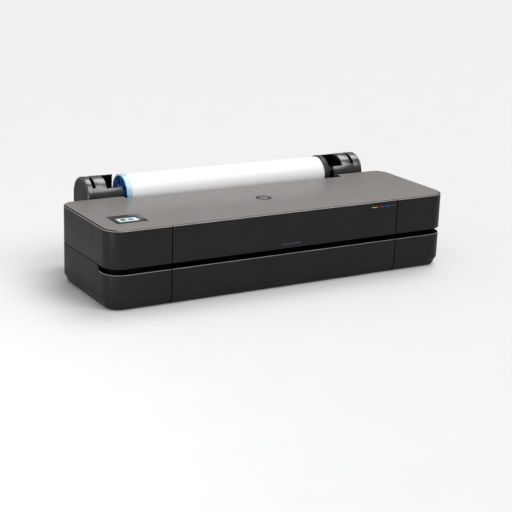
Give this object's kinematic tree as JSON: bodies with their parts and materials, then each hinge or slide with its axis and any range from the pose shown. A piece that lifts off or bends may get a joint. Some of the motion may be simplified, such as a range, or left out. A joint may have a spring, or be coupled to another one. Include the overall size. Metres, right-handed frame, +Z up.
{
  "type": "large format plotter",
  "caption": "Desktop roll-fed large format inkjet plotter with hinged top cover, rear roll spindle, moving print carriage and front paper slot.",
  "frame": {"origin": "on the floor under the middle of the machine's bounding box", "axes": "+X to the machine's right end as the user sees it, front faces -Y, +Z up"},
  "size_m": [1.013, 0.44, 0.2515],
  "materials": {
    "zinc_sheet": "zinc plated steel sheet",
    "foot_rubber": "soft black rubber",
    "cover_plastic": "fine grained near-black plastic",
    "housing_plastic": "black moulded plastic",
    "inner_plastic": "matt black plastic",
    "top_finish": "satin warm grey paint on plastic",
    "bezel_gloss": "black gloss panel",
    "screen_glass": "lit display",
    "light_bar": "blue light guide",
    "steel_bright": "ground steel rod",
    "support_gloss": "black gloss plastic",
    "support_cap": "black satin plastic with a gloss rim",
    "connector_plastic": "black socket plastic",
    "bush_nylon": "plain nylon",
    "shaft_plastic": "black extruded tube",
    "core_board": "brown wound card",
    "paper_white": "white coated paper",
    "hub_blue": "blue clear plastic",
    "hub_black": "black moulded plastic",
    "gear_nylon": "natural nylon",
    "gear_brass": "plain brass",
    "roller_grit": "grit coated steel",
    "motor_steel": "drawn steel can",
    "roller_rubber": "ground rubber",
    "beam_aluminium": "extruded aluminium",
    "strip_film": "clear film with fine lines",
    "belt_rubber": "toothed rubber belt",
    "head_plastic": "dark grey plastic",
    "sled_plastic": "grey plastic with soft caps",
    "cartridge_plastic": "black plastic tank",
    "tube_silicone": "ribbon of soft tubes",
    "board_green": "green circuit board"
  },
  "bodies": {
    "root": {"base_pan": "zinc_sheet", "cover_screws": "zinc_sheet", "rubber_feet": "foot_rubber", "lower_left_cover": "cover_plastic", "lower_right_cover": "cover_plastic", "lower_front_panel": "cover_plastic", "upper_left_cover": "cover_plastic", "upper_right_cover": "cover_plastic", "rear_housing": "housing_plastic", "output_deck": "inner_plastic", "platen": "inner_plastic", "cover_hinge_pins": "steel_bright", "right_roll_support": "support_gloss", "left_roll_support": "support_gloss", "support_end_caps": "support_cap", "spindle_cradles": "inner_plastic", "rear_connectors": "connector_plastic", "feed_motor": "motor_steel", "pinch_arms": "inner_plastic", "guide_rod": "steel_bright", "side_frames": "zinc_sheet", "carriage_beam": "beam_aluminium", "encoder_strip": "strip_film", "carriage_belt": "belt_rubber", "belt_motor": "motor_steel", "service_station": "inner_plastic", "ink_bay": "inner_plastic", "ink_cartridges": "cartridge_plastic", "ink_tube_loop": "tube_silicone", "main_board": "board_green", "power_supply": "zinc_sheet", "vacuum_fan": "housing_plastic"},
    "main_cover": {"top_plate": "top_finish", "main_cover_frame": "inner_plastic", "main_cover_front": "cover_plastic", "control_bezel": "bezel_gloss", "display_screen": "screen_glass", "status_light_bar": "light_bar"},
    "power_key": {"power_button": "connector_plastic"},
    "ink_access_door": {"ink_door": "cover_plastic"},
    "spindle_carrier": {"spindle_bushes": "bush_nylon"},
    "roll_assembly": {"spindle_shaft": "shaft_plastic", "spindle_gear": "hub_black", "blue_hub": "hub_blue", "black_hub": "hub_black", "paper_roll": "paper_white", "roll_core": "core_board"},
    "rewind_drive": {"rewind_gear": "gear_nylon"},
    "feed_drive": {"feed_roller": "roller_grit", "feed_gear": "gear_nylon"},
    "feed_pinion": {"motor_pinion": "gear_brass"},
    "pinch_set": {"pinch_rollers": "roller_rubber"},
    "outfeed_set": {"output_roller": "roller_rubber"},
    "print_carriage": {"carriage": "inner_plastic", "printhead": "head_plastic"},
    "head_latch": {"printhead_latch": "hub_blue"},
    "capping_sled": {"cap_sled": "sled_plastic"},
    "belt_drive": {"drive_pulley": "gear_brass"},
    "belt_idler": {"idler_pulley": "gear_nylon"},
    "fan_wheel": {"fan_rotor": "housing_plastic"}
  },
  "joints": [
    {"name": "main_cover_hinge", "type": "hinge", "parent": "root", "child": "main_cover", "pos_m": [0, 0.0895, 0.1995], "axis": [-1, 0, 0], "range_deg": [0, 44]},
    {"name": "power_button_press", "type": "slide", "parent": "root", "child": "power_key", "axis": [0, -1, 0], "range_m": [0, 0.0015], "stiffness_N_per_m": 400},
    {"name": "ink_door_hinge", "type": "hinge", "parent": "root", "child": "ink_access_door", "pos_m": [0.4, -0.214, 0.1105], "axis": [1, 0, 0], "range_deg": [0, 80]},
    {"name": "spindle_lift", "type": "slide", "parent": "root", "child": "spindle_carrier", "axis": [0, -0.4848, 0.8746], "range_m": [0, 0.12]},
    {"name": "roll_spin", "type": "hinge", "parent": "spindle_carrier", "child": "roll_assembly", "pos_m": [0, 0.15, 0.2], "axis": [1, 0, 0], "continuous": true},
    {"name": "rewind_spin", "type": "hinge", "parent": "root", "child": "rewind_drive", "pos_m": [0.348, 0.1658, 0.1715], "axis": [1, 0, 0], "continuous": true},
    {"name": "feed_spin", "type": "hinge", "parent": "root", "child": "feed_drive", "pos_m": [0, 0.012, 0.088], "axis": [1, 0, 0], "continuous": true},
    {"name": "pinion_spin", "type": "hinge", "parent": "root", "child": "feed_pinion", "pos_m": [-0.46, -0.013, 0.0674], "axis": [1, 0, 0], "continuous": true},
    {"name": "pinch_spin", "type": "hinge", "parent": "root", "child": "pinch_set", "pos_m": [0, 0.012, 0.1013], "axis": [1, 0, 0], "continuous": true},
    {"name": "outfeed_spin", "type": "hinge", "parent": "root", "child": "outfeed_set", "pos_m": [0, -0.106, 0.09], "axis": [1, 0, 0], "continuous": true},
    {"name": "carriage_slide", "type": "slide", "parent": "root", "child": "print_carriage", "axis": [1, 0, 0], "range_m": [-0.76, 0]},
    {"name": "head_latch_hinge", "type": "hinge", "parent": "print_carriage", "child": "head_latch", "pos_m": [0.4, -0.024, 0.171], "axis": [-1, 0, 0], "range_deg": [0, 60]},
    {"name": "cap_sled_lift", "type": "slide", "parent": "root", "child": "capping_sled", "axis": [0, 0, 1], "range_m": [-0.008, 0]},
    {"name": "drive_pulley_spin", "type": "hinge", "parent": "root", "child": "belt_drive", "pos_m": [0.455, 0.03, 0.173], "axis": [0, 0, 1], "continuous": true},
    {"name": "idler_pulley_spin", "type": "hinge", "parent": "root", "child": "belt_idler", "pos_m": [-0.455, 0.03, 0.173], "axis": [0, 0, 1], "continuous": true},
    {"name": "fan_spin", "type": "hinge", "parent": "root", "child": "fan_wheel", "pos_m": [0, -0.05, 0.031], "axis": [0, 0, 1], "continuous": true}
  ],
  "couplings": [
    {"joint": "rewind_spin", "follows": "roll_spin", "ratio": -1.6667},
    {"joint": "pinion_spin", "follows": "feed_spin", "ratio": -3},
    {"joint": "pinch_spin", "follows": "feed_spin", "ratio": -1.6},
    {"joint": "outfeed_spin", "follows": "feed_spin", "ratio": 1.4545},
    {"joint": "drive_pulley_spin", "follows": "carriage_slide", "rad_per_m": 142.86},
    {"joint": "idler_pulley_spin", "follows": "carriage_slide", "rad_per_m": 142.86}
  ]
}
